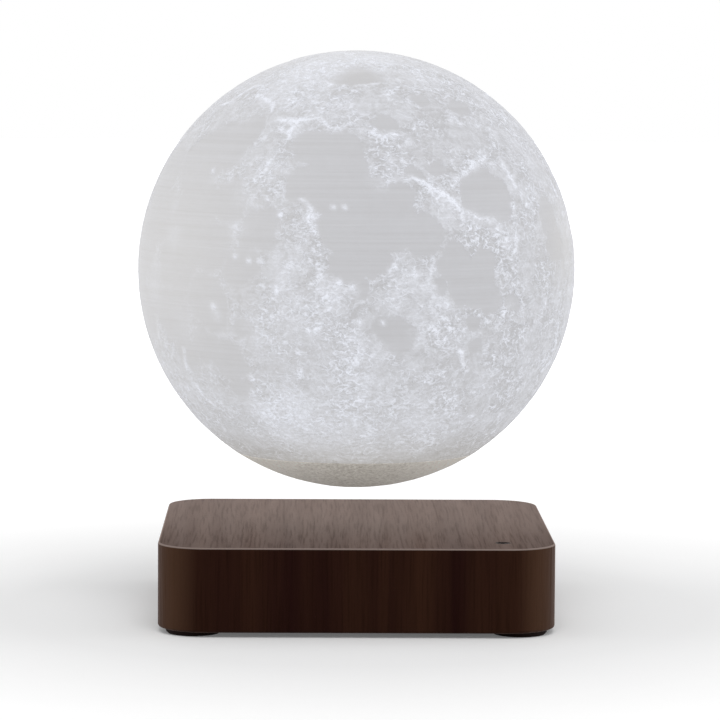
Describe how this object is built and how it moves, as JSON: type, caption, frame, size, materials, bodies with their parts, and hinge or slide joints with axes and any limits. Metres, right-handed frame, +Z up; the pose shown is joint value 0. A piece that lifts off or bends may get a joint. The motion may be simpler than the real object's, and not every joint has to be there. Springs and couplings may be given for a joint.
{
  "type": "levitating lamp",
  "caption": "Printed moon globe lamp that floats and turns above a rounded square walnut base holding its magnets, coils and power socket.",
  "frame": {"origin": "on the table, at the middle of the base's footprint, straight below the moon", "axes": "+Z up through the moon's middle; -Y is the front, with the touch mark at its right corner; +Y is the rear, with the power socket"},
  "size_m": [0.15, 0.15, 0.1925],
  "materials": {
    "walnut_case": "satin",
    "black_abs": "matte",
    "black_rubber": "matte",
    "zinc_screw": "satin",
    "green_board": "satin",
    "black_chip": "matte",
    "ferrite_magnet": "matte",
    "yoke_steel": "satin",
    "grey_tray": "matte",
    "coil_core_iron": "satin",
    "white_bobbin": "satin",
    "copper_winding": "gloss",
    "header_plastic": "satin",
    "capacitor_can": "satin",
    "red_film": "gloss",
    "inductor_ferrite": "satin",
    "jack_plastic": "satin",
    "nickel_pin": "gloss",
    "contact_bronze": "satin",
    "touch_inlay": "gloss",
    "copper_foil": "satin",
    "moon_print": "matte",
    "moon_cap_print": "matte",
    "nickel_magnet": "gloss",
    "white_holder": "satin",
    "ferrite_sheet": "matte",
    "white_board": "satin",
    "white_led": "gloss",
    "warm_led": "gloss"
  },
  "bodies": {
    "base": {"wooden_case": "walnut_case", "bottom_cover": "black_abs", "cover_screws": "zinc_screw", "rubber_foot_front_left": "black_rubber", "rubber_foot_front_right": "black_rubber", "rubber_foot_back_left": "black_rubber", "rubber_foot_back_right": "black_rubber", "control_board": "green_board", "module_screws": "zinc_screw", "magnet_tray": "grey_tray", "yoke_plate": "yoke_steel", "ring_magnet": "ferrite_magnet", "coil_core_front": "coil_core_iron", "coil_bobbin_front": "white_bobbin", "coil_winding_front": "copper_winding", "coil_core_right": "coil_core_iron", "coil_bobbin_right": "white_bobbin", "coil_winding_right": "copper_winding", "coil_core_back": "coil_core_iron", "coil_bobbin_back": "white_bobbin", "coil_winding_back": "copper_winding", "coil_core_left": "coil_core_iron", "coil_bobbin_left": "white_bobbin", "coil_winding_left": "copper_winding", "sensor_board": "green_board", "sensor_header": "header_plastic", "hall_sensor_x": "black_chip", "hall_sensor_y": "black_chip", "hall_sensor_z": "black_chip", "transmitter_coil": "copper_winding", "microcontroller": "black_chip", "driver_chip_x": "black_chip", "driver_chip_y": "black_chip", "transmitter_chip": "black_chip", "capacitor_left": "capacitor_can", "capacitor_right": "capacitor_can", "power_inductor": "inductor_ferrite", "film_capacitor": "red_film", "dc_socket": "jack_plastic", "dc_socket_pin": "nickel_pin", "dc_socket_contact": "contact_bronze", "touch_mark": "touch_inlay", "touch_pad": "copper_foil", "touch_spring": "zinc_screw"},
    "magnet": {"floating_magnet": "nickel_magnet"},
    "moon": {"moon_shell": "moon_print", "moon_cap": "moon_cap_print", "magnet_holder": "white_holder", "holder_screws": "zinc_screw", "receiver_coil": "copper_winding", "ferrite_disc": "ferrite_sheet", "lamp_board": "white_board", "lamp_board_screws": "zinc_screw", "white_leds": "white_led", "warm_leds": "warm_led", "rectifier": "black_chip", "lamp_controller": "black_chip", "storage_capacitor": "capacitor_can"}
  },
  "joints": [
    {"name": "moon_lift", "type": "slide", "parent": "base", "child": "magnet", "axis": [0, 0, 1], "range_m": [-0.0125, 0.08], "stiffness_N_per_m": 50, "springref_m": 0.04405},
    {"name": "moon_spin", "type": "hinge", "parent": "magnet", "child": "moon", "pos_m": [0, 0, 0.1175], "axis": [0, 0, 1], "continuous": true}
  ]
}
